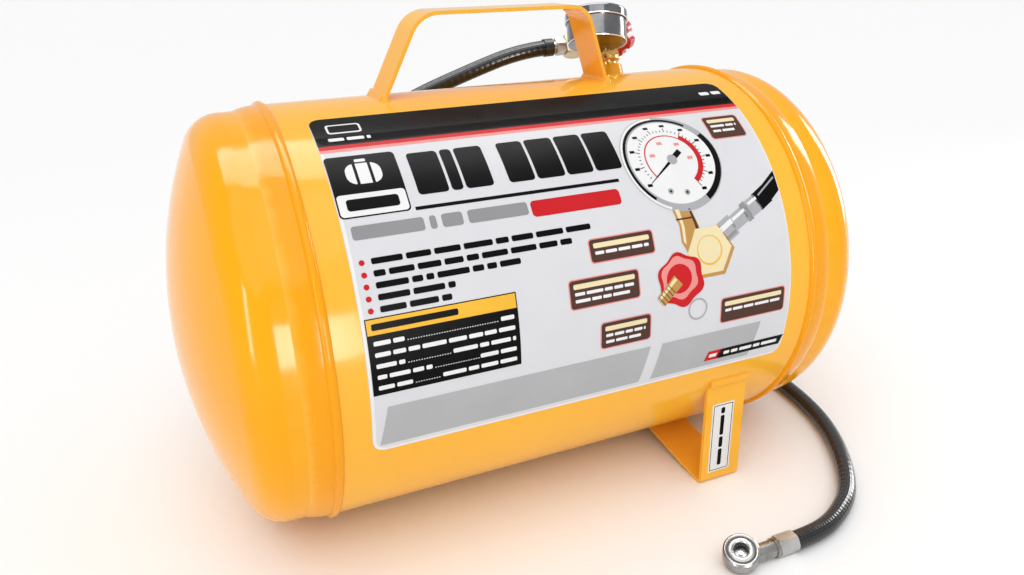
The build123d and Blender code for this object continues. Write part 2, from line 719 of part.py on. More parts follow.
def build():
    parts = {
        "tank_shell": tank_shell(),
        "right_head": tank_head(),
        "left_head": mirrored_x(tank_head()),
        "right_seam_weld": seam_weld(),
        "left_seam_weld": mirrored_x(seam_weld()),
        "longitudinal_weld": longitudinal_weld(),
        "handle": handle(),
        "handle_welds": group(handle_welds()),
        "front_foot": front_foot(),
        "rear_foot": mirrored_y(front_foot()),
        "foot_welds": group(foot_welds() + [mirrored_y(bead) for bead in foot_welds()]),
        "outlet_bung": outlet_bung(),
        "bung_weld": bung_weld(),
        "front_label": front_label(),
        "foot_sticker": foot_sticker(),
        "manifold_body": manifold_body(),
        "outlet_hex": outlet_hex(),
        "gauge_socket": GAUGE * gauge_socket(),
        "gauge_case": GAUGE * gauge_case(),
        "gauge_bezel": GAUGE * gauge_bezel(),
        "gauge_lens": GAUGE * gauge_lens(),
        "gauge_dial": GAUGE * gauge_dial(),
        "gauge_pointer": GAUGE * gauge_pointer(),
        "pointer_arbor": GAUGE * pointer_arbor(),
        "movement_plate": GAUGE * movement_plate(),
        "sector_gear": GAUGE * sector_gear(),
        "bourdon_tube": GAUGE * bourdon_tube(),
        "dial_screws": group([GAUGE * screw for screw in dial_screws()]),
        "valve_bonnet": valve_bonnet(),
        "valve_spindle": valve_spindle(),
        "valve_plug": valve_plug(),
        "shutoff_knob": shutoff_knob(),
        "fill_stem": fill_stem(),
        "valve_core": valve_core(),
        "valve_core_pin": valve_core_pin(),
        "valve_core_spring": valve_core_spring(),
        "relief_body": relief_body(),
        "relief_stem": relief_stem(),
        "relief_spring": relief_spring(),
        "pull_ring": pull_ring(),
        "hose_fitting": hose_fitting(),
        "hose_ferrule": hose_ferrule(),
        "air_hose": air_hose(),
        "chuck_ferrule": chuck_ferrule(),
        "chuck_fitting": chuck_fitting(),
        "chuck_body": chuck_body(),
        "chuck_seal": chuck_seal(),
        "chuck_pin": chuck_pin(),
        "chuck_spring": chuck_spring(),
    }
    os.makedirs("parts", exist_ok=True)
    for name, shape in parts.items():
        export_step(shape, f"parts/{name}.step")


build()
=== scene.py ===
import json
import math
import random
import bmesh
import bpy
from mathutils import Matrix, Vector


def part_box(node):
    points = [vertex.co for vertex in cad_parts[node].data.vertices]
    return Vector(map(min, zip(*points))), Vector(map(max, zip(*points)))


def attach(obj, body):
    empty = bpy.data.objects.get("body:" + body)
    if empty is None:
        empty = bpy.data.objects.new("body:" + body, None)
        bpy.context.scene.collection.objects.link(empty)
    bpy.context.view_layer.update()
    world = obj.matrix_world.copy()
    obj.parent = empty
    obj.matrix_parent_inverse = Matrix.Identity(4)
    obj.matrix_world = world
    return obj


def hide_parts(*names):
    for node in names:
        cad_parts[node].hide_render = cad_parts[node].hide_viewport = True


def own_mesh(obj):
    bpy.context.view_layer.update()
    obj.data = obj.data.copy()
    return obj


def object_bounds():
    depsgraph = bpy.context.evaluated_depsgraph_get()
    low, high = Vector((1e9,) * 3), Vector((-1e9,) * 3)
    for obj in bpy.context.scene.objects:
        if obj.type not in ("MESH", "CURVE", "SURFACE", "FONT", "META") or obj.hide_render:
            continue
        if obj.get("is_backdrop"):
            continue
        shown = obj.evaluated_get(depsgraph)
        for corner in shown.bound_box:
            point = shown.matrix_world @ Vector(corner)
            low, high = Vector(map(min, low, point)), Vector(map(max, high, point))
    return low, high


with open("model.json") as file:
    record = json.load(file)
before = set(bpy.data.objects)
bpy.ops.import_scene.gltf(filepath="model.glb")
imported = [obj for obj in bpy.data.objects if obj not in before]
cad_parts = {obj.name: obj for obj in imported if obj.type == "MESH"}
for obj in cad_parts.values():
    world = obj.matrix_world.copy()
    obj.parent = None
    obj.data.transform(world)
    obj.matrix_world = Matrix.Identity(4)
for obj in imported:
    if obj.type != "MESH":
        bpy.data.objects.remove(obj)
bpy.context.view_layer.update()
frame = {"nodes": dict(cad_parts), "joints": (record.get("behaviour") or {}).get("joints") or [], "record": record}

MM = 0.001
NODES = frame["nodes"]
JOINTS = {joint["name"]: joint for joint in frame["joints"]}
scene = bpy.context.scene


def place(obj, body="tank"):
    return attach(obj, body)


def add_mesh(name, mesh, material, smooth=True):
    obj = bpy.data.objects.new(name, mesh)
    scene.collection.objects.link(obj)
    mesh.materials.append(material)
    if smooth:
        mesh.polygons.foreach_set("use_smooth", [True] * len(mesh.polygons))
    return obj


# Camera: the photograph's angle

camera_data = bpy.data.cameras.new("camera")
camera_data.lens = 29.0
camera_data.sensor_width = 36.0
camera = bpy.data.objects.new("camera", camera_data)
right = Vector((0.9127, -0.4081, -0.0192)).normalized()
back = Vector((-0.3716, -0.8489, 0.3760)).normalized()
up = back.cross(right).normalized()
right = up.cross(back)
facing = Matrix((right, up, back)).transposed().to_4x4()
camera.matrix_world = Matrix.Translation((-0.2135, -0.4903, 0.3343)) @ facing
scene.collection.objects.link(camera)
scene.camera = camera


# Materials

class Nodes:
    """A material's node tree, with short ways to add nodes and to join them."""

    def __init__(self, name):
        self.material = bpy.data.materials.new(name)
        self.material.use_nodes = True
        self.tree = self.material.node_tree
        self.shader = self.tree.nodes["Principled BSDF"]

    def add(self, kind, **values):
        node = self.tree.nodes.new(kind)
        for key, value in values.items():
            if hasattr(node, key):
                setattr(node, key, value)
            else:
                node.inputs[key.replace("_", " ")].default_value = value
        return node

    def join(self, source, target, name):
        self.tree.links.new(source, target.inputs[name])

    def coords(self, kind="Object"):
        return self.add("ShaderNodeTexCoord").outputs[kind]

    def noise(self, scale, detail=3.0, vector=None, roughness=0.5):
        node = self.add("ShaderNodeTexNoise", Scale=scale, Detail=detail, Roughness=roughness)
        self.join(vector or self.coords(), node, "Vector")
        return node.outputs["Fac"]

    def ramp(self, factor, low, high, start=0.3, end=0.7):
        node = self.add("ShaderNodeMapRange")
        node.inputs["From Min"].default_value = start
        node.inputs["From Max"].default_value = end
        node.inputs["To Min"].default_value = low
        node.inputs["To Max"].default_value = high
        self.join(factor, node, "Value")
        return node.outputs["Result"]

    def mix(self, factor, first, second):
        node = self.add("ShaderNodeMix", data_type="RGBA")
        if isinstance(factor, float):
            node.inputs["Factor"].default_value = factor
        else:
            self.tree.links.new(factor, node.inputs["Factor"])
        colours = [socket for socket in node.inputs if socket.type == "RGBA"]
        for socket, value in zip(colours, (first, second)):
            if isinstance(value, tuple):
                socket.default_value = (*value, 1.0)
            else:
                self.tree.links.new(value, socket)
        return [socket for socket in node.outputs if socket.type == "RGBA"][0]

    def bump(self, height, strength, distance):
        node = self.add("ShaderNodeBump")
        node.inputs["Strength"].default_value = strength
        node.inputs["Distance"].default_value = distance
        self.join(height, node, "Height")
        self.join(node.outputs["Normal"], self.shader, "Normal")
        return node

    def set(self, **values):
        for key, value in values.items():
            socket = self.shader.inputs[key.replace("_", " ")]
            if isinstance(value, tuple):
                socket.default_value = (*value, 1.0)
            elif isinstance(value, (int, float)):
                socket.default_value = value
            else:
                self.tree.links.new(value, socket)
        return self.material


def enamel(name, colour, deep):
    """Sprayed gloss paint: faint orange peel, slow random changes of tone, and a painted highlight on sharp edges,
    tinted paler.
    """
    m = Nodes(name)
    slow = m.noise(9.0, 4.0)
    fine = m.noise(420.0, 2.0)
    shade = m.mix(m.ramp(slow, 0.0, 1.0), colour, deep)
    geometry = m.add("ShaderNodeNewGeometry")
    # painted highlight: sharp convex edges are tinted a paler yellow, as if lit
    edge = m.ramp(geometry.outputs["Pointiness"], 0.0, 0.35, 0.53, 0.62)
    base = m.mix(edge, shade, (1.0, 0.62, 0.12))
    m.bump(fine, 0.12, 0.0003)
    return m.set(Base_Color=base, Roughness=m.ramp(m.noise(60.0), 0.1, 0.16), Specular_IOR_Level=0.2)


def metal(name, colour, dark, rough=(0.18, 0.34), scale=350.0, stretch=(1.0, 1.0, 6.0), bump=0.12):
    """Machined metal with fine turning lines, stains and handled patches."""
    m = Nodes(name)
    mapping = m.add("ShaderNodeMapping")
    mapping.inputs["Scale"].default_value = stretch
    m.join(m.coords(), mapping, "Vector")
    lines = m.noise(scale, 4.0, mapping.outputs["Vector"], 0.6)
    stains = m.noise(70.0, 5.0)
    base = m.mix(m.ramp(stains, 0.0, 1.0, 0.35, 0.75), colour, dark)
    m.bump(lines, bump, 0.0002)
    return m.set(Base_Color=base, Metallic=1.0, Roughness=m.ramp(lines, rough[0], rough[1]))


def plain(name, colour, dark, rough, scale=200.0, bump=0.15, distance=0.0002, coat=0.0, specular=0.5):
    """Paint, ink, plastic or rubber: two near shades, an uneven sheen and a fine grain."""
    m = Nodes(name)
    base = m.mix(m.ramp(m.noise(40.0, 5.0), 0.0, 1.0), colour, dark)
    m.bump(m.noise(scale, 3.0), bump, distance)
    return m.set(
        Base_Color=base, Roughness=m.ramp(m.noise(90.0), rough * 0.85, rough * 1.15),
        Coat_Weight=coat, Coat_Roughness=0.06, Specular_IOR_Level=specular,
    )


def hose_material():
    """Black rubber over a braid whose crossing strands show through."""
    m = Nodes("hose_braid")
    split = m.add("ShaderNodeSeparateXYZ")
    m.join(m.coords("UV"), split, "Vector")
    strands = []
    for sign in (1.0, -1.0):
        along = m.add("ShaderNodeMath", operation="MULTIPLY")
        m.tree.links.new(split.outputs["X"], along.inputs[0])
        along.inputs[1].default_value = 100.0 * sign
        around = m.add("ShaderNodeMath", operation="MULTIPLY_ADD")
        m.tree.links.new(split.outputs["Y"], around.inputs[0])
        around.inputs[1].default_value = 12.0
        m.tree.links.new(along.outputs[0], around.inputs[2])
        turn = m.add("ShaderNodeMath", operation="MULTIPLY")
        m.tree.links.new(around.outputs[0], turn.inputs[0])
        turn.inputs[1].default_value = 2 * math.pi
        wave = m.add("ShaderNodeMath", operation="SINE")
        m.tree.links.new(turn.outputs[0], wave.inputs[0])
        strands.append(wave.outputs[0])
    weave = m.add("ShaderNodeMath", operation="MULTIPLY")
    m.tree.links.new(strands[0], weave.inputs[0])
    m.tree.links.new(strands[1], weave.inputs[1])
    raised = m.ramp(weave.outputs[0], 0.0, 1.0, -1.0, 1.0)
    m.bump(raised, 0.35, 0.0004)
    base = m.mix(raised, (0.004, 0.004, 0.005), (0.018, 0.018, 0.019))
    return m.set(Base_Color=base, Roughness=m.ramp(m.noise(120.0), 0.16, 0.26))


def window():
    m = Nodes("gauge_window")
    m.bump(m.noise(60.0), 0.02, 0.0002)
    return m.set(
        Base_Color=(0.96, 0.98, 0.98), Roughness=m.ramp(m.noise(30.0), 0.0, 0.03),
        Transmission_Weight=1.0, IOR=1.45,
    )


YELLOW = enamel("yellow_enamel", (0.97, 0.435, 0.004), (0.96, 0.395, 0.002))
WELD = enamel("yellow_weld", (0.95, 0.40, 0.004), (0.92, 0.35, 0.002))
BRASS = metal("brass", (0.74, 0.47, 0.17), (0.52, 0.29, 0.08))
PALE_BRASS = metal("pale_brass", (0.66, 0.60, 0.45), (0.52, 0.46, 0.32), (0.4, 0.52))
NICKEL = metal("nickel", (0.52, 0.515, 0.50), (0.34, 0.335, 0.32), (0.3, 0.42))
CHUCK_METAL = metal(
    "chuck_plating", (0.42, 0.415, 0.40), (0.20, 0.20, 0.195), (0.2, 0.36), 420.0, (1, 1, 1), 0.2,
)
STEEL = metal("bright_steel", (0.72, 0.72, 0.71), (0.5, 0.5, 0.5), (0.2, 0.36))
CHROME = metal("chrome", (0.20, 0.20, 0.21), (0.13, 0.13, 0.14), (0.05, 0.12), 120.0, (1, 1, 1), 0.03)
RIM = metal("bright_rim", (0.85, 0.85, 0.85), (0.75, 0.75, 0.75), (0.05, 0.12), 120.0, (1, 1, 1), 0.03)
GUNMETAL = metal(
    "gauge_case_metal", (0.22, 0.22, 0.23), (0.12, 0.12, 0.13), (0.1, 0.2), 260.0, (1, 1, 1), 0.05,
)
BLACK = plain("black_paint", (0.012, 0.012, 0.013), (0.02, 0.02, 0.02), 0.35)
RED = plain("red_plastic", (0.62, 0.02, 0.03), (0.50, 0.012, 0.02), 0.25, 150.0, 0.06, 0.0002, 0.3)
RUBBER = plain("black_rubber", (0.015, 0.015, 0.015), (0.03, 0.03, 0.03), 0.55)
WHITE_VINYL = plain("white_vinyl", (0.86, 0.86, 0.85), (0.80, 0.80, 0.80), 0.34, 500.0, 0.03)
DIAL_WHITE = plain("dial_white", (0.90, 0.91, 0.92), (0.84, 0.85, 0.87), 0.4, 400.0, 0.03)
PANEL = plain("label_grey", (0.70, 0.70, 0.725), (0.68, 0.68, 0.705), 0.3, 500.0, 0.03, 0.0002, 0.0, 0.06)


def ink(name, colour):
    dark = tuple(value * 0.94 for value in colour)
    return plain(name, colour, dark, 0.32, 600.0, 0.03, 0.0002, 0.0, 0.05)


INKS = {
    "black": ink("ink_black", (0.004, 0.004, 0.004)),
    "white": ink("ink_white", (0.85, 0.85, 0.85)),
    "red": ink("ink_red", (0.60, 0.02, 0.025)),
    "pink": ink("ink_pink", (0.83, 0.30, 0.28)),
    "grey": ink("ink_grey", (0.30, 0.30, 0.31)),
    "pale": ink("ink_pale_grey", (0.46, 0.465, 0.48)),
    "yellow": ink("ink_yellow", (0.92, 0.50, 0.05)),
    "brown": ink("ink_brown", (0.09, 0.045, 0.035)),
    "gold": ink("ink_gold", (0.56, 0.30, 0.09)),
    "cream": ink("ink_cream", (0.86, 0.74, 0.45)),
    "silver": ink("ink_silver", (0.42, 0.43, 0.45)),
}

FINISHES = {
    "black_rubber": RUBBER, "black_steel": BLACK, "brass": BRASS, "bright_steel": STEEL,
    "chromed_steel": CHROME, "clear_window": window(), "nickel_plate": NICKEL,
    "printed_label": PANEL, "red_plastic": RED, "white_sticker": WHITE_VINYL,
    "yellow_enamel": YELLOW,
}
for part in frame["record"]["subparts"]:
    mesh = NODES[part["node"]].data
    mesh.materials.clear()
    mesh.materials.append(FINISHES[part["material_slot"]])
for node, material in {
    "chuck_body": CHUCK_METAL, "chuck_fitting": CHUCK_METAL, "gauge_case": GUNMETAL,
    "gauge_dial": DIAL_WHITE, "outlet_hex": PALE_BRASS, "left_seam_weld": WELD,
    "right_seam_weld": WELD, "handle_welds": WELD, "foot_welds": WELD, "bung_weld": WELD,
    "longitudinal_weld": WELD,
}.items():
    NODES[node].data.materials[0] = material


# Turned pieces

def axis_of(name):
    return Vector(JOINTS[name]["axis"]).normalized()


def turned(name, origin, axis, profile, material, body, segments=48):
    """A mesh turned about an axis from (distance along, radius) points in millimetres."""
    z = Vector(axis).normalized()
    x = z.orthogonal().normalized()
    y = z.cross(x)
    bm = bmesh.new()
    rings = []
    for along, radius in profile:
        ring = []
        for index in range(segments):
            angle = 2 * math.pi * index / segments
            offset = x * math.cos(angle) + y * math.sin(angle)
            ring.append(bm.verts.new(Vector(origin) + z * along * MM + offset * radius * MM))
        rings.append(ring)
    for first, second in zip(rings, rings[1:]):
        for index in range(segments):
            after = (index + 1) % segments
            bm.faces.new((first[index], first[after], second[after], second[index]))
    mesh = bpy.data.meshes.new(name)
    bm.to_mesh(mesh)
    bm.free()
    return place(add_mesh(name, mesh, material), body)


def ring_profile(along, radius, thick, steps=10):
    """A round wire's section, closed, at a distance along the axis and a radius."""
    points = []
    for index in range(steps + 1):
        angle = 2 * math.pi * index / steps
        points.append((along + thick * math.sin(angle), radius + thick * math.cos(angle)))
    return points


def reach_and_radius(node, origin, axis):
    """A turned node's furthest places along an axis and its radius, in millimetres."""
    offsets = [v.co - origin for v in NODES[node].data.vertices]
    along = [offset.dot(axis) / MM for offset in offsets]
    return min(along), max(along), max(offset.cross(axis).length for offset in offsets) / MM


# Coil springs, in place of the plain sleeves

def coil(node, joint, body, turns, wire):
    """A coil as long and wide as its sleeve, wound about the joint's axis with even turns."""
    axis = axis_of(joint)
    verts = NODES[node].data.vertices
    middle = sum((v.co for v in verts), Vector()) / len(verts)
    low, high, radius = reach_and_radius(node, middle, axis)
    side = axis.orthogonal().normalized()
    across = axis.cross(side)
    middle_radius = radius - wire
    bm = bmesh.new()
    steps, sides = turns * 24, 8
    rings = []
    for index in range(steps + 1):
        share = index / steps
        angle = 2 * math.pi * turns * share
        out = side * math.cos(angle) + across * math.sin(angle)
        along = low + wire + (high - low - 2 * wire) * share
        centre = middle + axis * along * MM + out * middle_radius * MM
        ring = []
        for corner in range(sides):
            around = 2 * math.pi * corner / sides
            offset = out * math.cos(around) + axis * math.sin(around)
            ring.append(bm.verts.new(centre + offset * wire * MM))
        rings.append(ring)
    for first, second in zip(rings, rings[1:]):
        for corner in range(sides):
            after = (corner + 1) % sides
            bm.faces.new((first[corner], first[after], second[after], second[corner]))
    bm.faces.new(rings[0])
    bm.faces.new(rings[-1][::-1])
    bmesh.ops.recalc_face_normals(bm, faces=bm.faces)
    mesh = bpy.data.meshes.new(node + "_coil")
    bm.to_mesh(mesh)
    bm.free()
    obj = place(add_mesh(node + "_coil", mesh, STEEL), body)
    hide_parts(node)
    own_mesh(obj)


# Hose, with the chuck's face and its spring, which ride on the tank like the hose

ROUTE = [
    (77.08, 90.92, 267.13), (53.17, 92.77, 266.16), (12.0, 103.0, 251.2), (-38.0, 118.0, 230.0),
    (-80.0, 136.0, 193.0), (-112.0, 150.0, 137.0), (-124.0, 158.0, 83.0), (-110.0, 163.0, 33.0),
    (-72.0, 163.0, 6.3), (-16.0, 158.0, 6.3), (44.0, 159.0, 6.3), (104.0, 154.0, 6.3),
    (160.0, 132.0, 6.3), (202.0, 88.0, 6.3), (226.0, 30.0, 6.3), (222.0, -54.0, 6.3),
    (205.0, -111.5, 6.3), (167.0, -167.0, 6.3), (133.0, -187.7, 6.3), (110.5, -192.4, 6.3),
    (96.5, -192.2, 6.3),
]
HOSE_D = 11.5
curve = bpy.data.curves.new("whip_hose", "CURVE")
curve.dimensions = "3D"
curve.bevel_depth = HOSE_D / 2 * MM
curve.bevel_resolution = 8
curve.resolution_u = 16
spline = curve.splines.new("NURBS")
spline.points.add(len(ROUTE) - 1)
for point, (x, y, z) in zip(spline.points, ROUTE):
    point.co = (x * MM, y * MM, z * MM, 1.0)
spline.order_u = 3
spline.use_endpoint_u = True
hose = bpy.data.objects.new("whip_hose", curve)
scene.collection.objects.link(hose)
curve.materials.append(hose_material())
place(hose, "tank")
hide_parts("air_hose")
chuck_mouth = next(mount for mount in frame["record"]["mounts"] if mount["name"] == "chuck_mouth")
chuck_axis = Vector(chuck_mouth["axis"]).normalized()
chuck_at = Vector(chuck_mouth["pos_m"])
_, face, _ = reach_and_radius("chuck_body", chuck_at, chuck_axis)
# Height over the chuck's face, and radius, from the outside in
RINGS = (
    (0.0, 9.9), (0.5, 9.5), (0.5, 8.9), (0.12, 8.5), (0.12, 7.3),
    (0.45, 6.9), (0.45, 5.3), (0.25, 4.9), (0.0, 4.8),
)
GROOVE = ((0.13, 8.5), (0.2, 8.2), (0.2, 7.6), (0.13, 7.3))
for name, section, material, slot in (
    ("chuck_face_rings", RINGS, CHUCK_METAL, "nickel_plate"),
    ("chuck_face_groove", GROOVE, BLACK, "black_rubber"),
):
    profile = [(face + height, radius) for height, radius in section]
    turned(name, chuck_at, chuck_axis, profile, material, "tank", 64)
coil("chuck_spring", "chuck_pin_push", "tank", 5, 0.25)


# Label: flat shapes in (x along the tank, s up round the shell), millimetres, wrapped on the shell

SHELL_LOW, SHELL_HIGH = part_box("tank_shell")
SHELL_R = (SHELL_HIGH.y - SHELL_LOW.y) / 2
AXIS_Z = (SHELL_HIGH.z + SHELL_LOW.z) / 2
FACE = SHELL_R + 0.00027
LABEL_STEP = 0.00005
prints = {}


def wrap(x, s, lift):
    angle = s * MM / SHELL_R
    radius = FACE + lift * LABEL_STEP
    return Vector((x * MM, -radius * math.cos(angle), AXIS_Z + radius * math.sin(angle)))


def shape(colour, points, layer=1):
    """Adds a filled outline to the prints of one colour."""
    prints.setdefault((colour, layer), []).append(points)


def rect(colour, x0, x1, s0, s1, layer=1, slant=0.0, round_by=0.0):
    lean = slant * (s1 - s0)
    if round_by:
        points = []
        for cx, cs, start in ((x1 - round_by, s1 - round_by, 0), (x0 + round_by, s1 - round_by, 90),
                              (x0 + round_by, s0 + round_by, 180), (x1 - round_by, s0 + round_by, 270)):
            for step in range(0, 91, 18):
                angle = math.radians(start + step)
                points.append((cx + round_by * math.cos(angle), cs + round_by * math.sin(angle)))
    else:
        points = [(x0, s0), (x1, s0), (x1 + lean, s1), (x0 + lean, s1)]
    shape(colour, points, layer)


def disc(colour, x, s, radius, layer=1, sides=40, ripple=0.0, lobes=6, phase=0.0):
    points = []
    for index in range(sides):
        angle = 2 * math.pi * index / sides
        r = radius * (1 + ripple * math.cos(lobes * (angle + phase)))
        points.append((x + r * math.cos(angle), s + r * math.sin(angle)))
    shape(colour, points, layer)


def band(colour, x, s, inner, outer, start, end, layer=1):
    """Part of a ring, angles anticlockwise from +x in degrees."""
    steps = max(2, int(abs(end - start) / 6))
    for index in range(steps):
        a = math.radians(start + (end - start) * index / steps)
        b = math.radians(start + (end - start) * (index + 1) / steps)
        shape(colour, [(x + r * math.cos(t), s + r * math.sin(t)) for r, t in
                       ((inner, a), (outer, a), (outer, b), (inner, b))], layer)


def bar(colour, x0, s0, x1, s1, width, layer=1, end_width=None):
    """A straight stroke from one point to another."""
    dx, ds = x1 - x0, s1 - s0
    length = math.hypot(dx, ds)
    nx, ns = -ds / length / 2, dx / length / 2
    w0, w1 = width, width if end_width is None else end_width
    shape(colour, [(x0 + nx * w0, s0 + ns * w0), (x0 - nx * w0, s0 - ns * w0),
                   (x1 - nx * w1, s1 - ns * w1), (x1 + nx * w1, s1 + ns * w1)], layer)


def words(colour, x0, x1, s0, s1, layer=1, seed=1, shortest=1.2, longest=4.5):
    """A line of plain bars, one for each word, with nothing written."""
    rng = random.Random(seed)
    height = s1 - s0
    x = x0
    while x < x1 - 0.6 * height:
        end = min(x1, x + height * rng.uniform(shortest, longest))
        if x1 - end < height:
            end = x1
        rect(colour, x, end, s0, s1, layer, 0, min(height, end - x) * 0.3)
        x = end + height * 0.55


LABEL_LOW, LABEL_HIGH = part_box("front_label")
HALF = LABEL_HIGH.x / MM
S_LOW = SHELL_R / MM * math.asin((LABEL_LOW.z - AXIS_Z) / SHELL_R)
S_HIGH = SHELL_R / MM * math.asin((LABEL_HIGH.z - AXIS_Z) / SHELL_R)

rect("white", -HALF + 0.3, HALF - 0.3, S_LOW + 0.3, S_HIGH - 0.3, 1, 0, 7.0)
rect("panel", -HALF + 2.0, HALF - 0.9, S_LOW + 1.8, S_HIGH - 1.0, 2, 0, 6.0)
rect("black", -HALF + 0.4, HALF - 0.4, 138.6, S_HIGH - 0.4, 3, 0, 6.8)
rect("black", -HALF + 0.4, HALF - 0.4, 138.4, 148.0, 3)
rect("red", -HALF + 0.4, HALF - 0.4, 135.4, 138.4, 3)
rect("pink", -HALF + 0.4, HALF - 0.4, 133.2, 135.4, 3)
words("white", 115, 131, 150, 153.6, 4, 3)
# a plain outlined badge at the band's left end
rect("white", -126, -107, 148.5, 157.5, 4, 0, 2.0)
rect("black", -124.8, -108.2, 149.7, 156.3, 5, 0, 1.2)
words("white", -127, -104, 142, 144.6, 4, 5)
# capacity box, with a tank sign
rect("black", -133.4, -96, 91.0, 129.5, 4, 0, 2.5)
rect("white", -132.6, -96.8, 91.8, 104.5, 5, 0, 2.0)
rect("white", -124.5, -105.5, 110, 123.5, 5, 0, 5.5)
rect("black", -119.8, -118.2, 110, 123.5, 6)
rect("black", -111.8, -110.2, 110, 123.5, 6)
rect("white", -118, -112, 124.5, 126.5, 5, 0, 0.8)
rect("black", -128.5, -101.0, 94.8, 101.5, 6, 0, 1.6)
# headline of heavy blocks
x = -90.0
for width in (17.0, 6.5, 16.0, 0, 15.5, 17.0, 16.5, 17.0):
    if width:
        rect("black", x, x + width, 99.0, 126.5, 4, 0, 2.2)
        x += width
    x += 1.6 if width else 7.5
rect("black", -94, 27, 90.6, 92.6, 4)
x = -129.5
for width in (38.0, 3.6, 11.5, 34.5):
    rect("grey", x, x + width, 79.2, 86.6, 4, 0, 1.6)
    x += width + 3.0
rect("red", -31, 24.5, 77.2, 86.6, 4, 0, 2.4)
for index, (s, end) in enumerate(((67.2, 1), (60.9, -12), (54.9, -44), (48.9, -82), (42.9, -85))):
    disc("red", -127.8, s + 0.3, 1.5, 4, 16)
    words("black", -123, end, s - 1.2, s + 2.0, 4, 20 + index, 1.2, 5.5)
# table
rect("black", -132, -50, -0.8, 39.6, 4)
rect("yellow", -131.4, -50.6, 31.2, 39.0, 5)
rect("black", -129.0, -83, 33.4, 36.8, 6, 0, 1.0)
for index in range(5):
    s = 25.6 - 5.9 * index
    left = -129 + (16, 58, 15, 29, 18)[index]
    start = -52 - (10, 22, 44, 26, 52)[index] * 0.82
    words("white", -129, left, s, s + 2.3, 5, 40 + index, 2.0, 6.0)
    words("white", start, -52.5, s, s + 2.3, 5, 50 + index, 2.0, 6.0)
    dot = left + 1.5
    while dot < start - 1.0:
        rect("white", dot, dot + 0.6, s, s + 0.5, 5)
        dot += 1.4
# pale slanted bars along the foot of the label
rect("pale", -130, 28, -33.0, -8.5, 3, 0.2)
rect("pale", 36, 108, -33.0, -8.5, 3, 0.2)
# callouts
for index, (x0, x1, s0, s1, lines) in enumerate((
    (101, 127.5, 110, 128.5, 2), (-3, 39, 46.5, 60.5, 1), (-19, 26, 23, 40, 2),
    (-1, 32.5, -3.5, 13, 2), (81, 129.5, -4, 12.5, 1),
)):
    rect("pink", x0, x1, s0, s1, 3, 0, 2.4)
    rect("brown", x0 + 0.7, x1 - 0.7, s0 + 0.7, s1 - 0.7, 4, 0, 1.9)
    rect("cream", x0 + 3, x1 - 3, s1 - 5.6, s1 - 2.8, 5, 0, 0.9)
    for line in range(lines):
        top = s1 - 7.4 - 3.9 * line
        words("white", x0 + 3.5, x1 - 4 - 3 * line, top - 1.8, top, 5, 70 + 3 * index + line, 2.0, 6.0)
# slanted black and red bar near the foot
rect("black", 83, 131.5, -29.5, -22.5, 4, 0.3)
rect("red", 74, 84.5, -29.5, -22.5, 4, 0.3)
words("white", 88, 129, -27.2, -24.8, 5, 91, 1.5, 5.0)
rect("white", 77, 82.5, -27.2, -24.8, 5, 0.2)

# printed picture of the gauge and the valve
GX, GS, LEAN = 66.5, 100.0, math.radians(-10)


def pic(x, s):
    """A point of the picture, from the gauge's middle, in the picture's own slant."""
    return GX + x * math.cos(LEAN) - s * math.sin(LEAN), GS + x * math.sin(LEAN) + s * math.cos(LEAN)


def on_picture(radius, degrees):
    """A point of the printed gauge's dial."""
    angle = math.radians(degrees)
    return GX + radius * math.cos(angle), GS + radius * math.sin(angle)


shape("gold", [
    (55.0, 70.0), (67.5, 69.0), (70.5, 58.0), (72.0, 47.0), (61.0, 41.0), (57.0, 50.0), (57.5, 60.0),
], 4)
shape("cream", [(56.8, 69.0), (59.6, 69.0), (60.8, 58.0), (60.0, 48.0), (58.4, 50.0), (58.8, 60.0)], 5)
shape("brown", [(66.0, 68.5), (67.3, 68.5), (70.0, 58.0), (71.6, 49.0), (69.0, 50.0), (68.0, 58.0)], 5)
rect("brown", 56.2, 68.0, 62.6, 63.6, 6)
# outlet fitting and hose, to the label's edge
bar("silver", 84.0, 49.5, 95.0, 55.3, 13.5, 4)
bar("white", 85.0, 52.6, 94.0, 57.4, 3.2, 5)
bar("grey", 86.5, 46.0, 96.0, 51.0, 2.2, 5)
bar("silver", 94.0, 55.0, 105.0, 60.6, 10.0, 4)
bar("white", 94.5, 57.6, 104.5, 62.6, 2.0, 5)
bar("grey", 104.0, 60.2, 108.0, 62.2, 12.4, 4)
bar("silver", 107.5, 62.0, 116.0, 66.0, 11.0, 4)
bar("white", 108.0, 65.4, 115.0, 68.6, 1.8, 5)
bar("black", 115.0, 65.6, 124.0, 70.4, 11.6, 4)
shape("black", [(120.5, 74.8), (133.4, 83.8), (133.4, 71.0), (126.0, 65.6)], 4)
bar("silver", 117.0, 69.8, 132.0, 79.6, 1.0, 5)
# outlet block, handwheel, fill stem and pull ring
band("silver", 64.6, 9.0, 5.6, 6.8, 0, 360, 4)
disc("gold", 76.2, 41.4, 16.6, 5, 6)
disc("cream", 75.2, 42.6, 15.6, 6, 6)
disc("yellow", 75.2, 42.6, 8.8, 7, 40)
disc("cream", 75.0, 42.9, 8.0, 8, 40)
disc("red", 53.6, 28.4, 15.4, 8, 72, 0.07, 6, 0.4)
disc("pink", 52.6, 29.8, 12.2, 9, 72, 0.06, 6, 0.4)
disc("red", 52.2, 29.4, 8.6, 10, 40)
bar("gold", 51.5, 28.8, 39.0, 17.8, 8.2, 11, 7.0)
bar("cream", 49.8, 29.8, 38.0, 19.4, 2.2, 12, 1.8)
for index in range(5):
    x, s = 46.5 - 1.7 * index, 24.4 - 1.5 * index
    bar("brown", x - 2.2, s + 2.5, x + 2.4, s - 2.7, 0.45, 13)
disc("silver", GX, GS, 33.0, 5, 64)
band("white", GX, GS, 31.2, 32.6, 90, 250, 6)
band("black", GX, GS, 29.4, 31.2, 50, 230, 6)
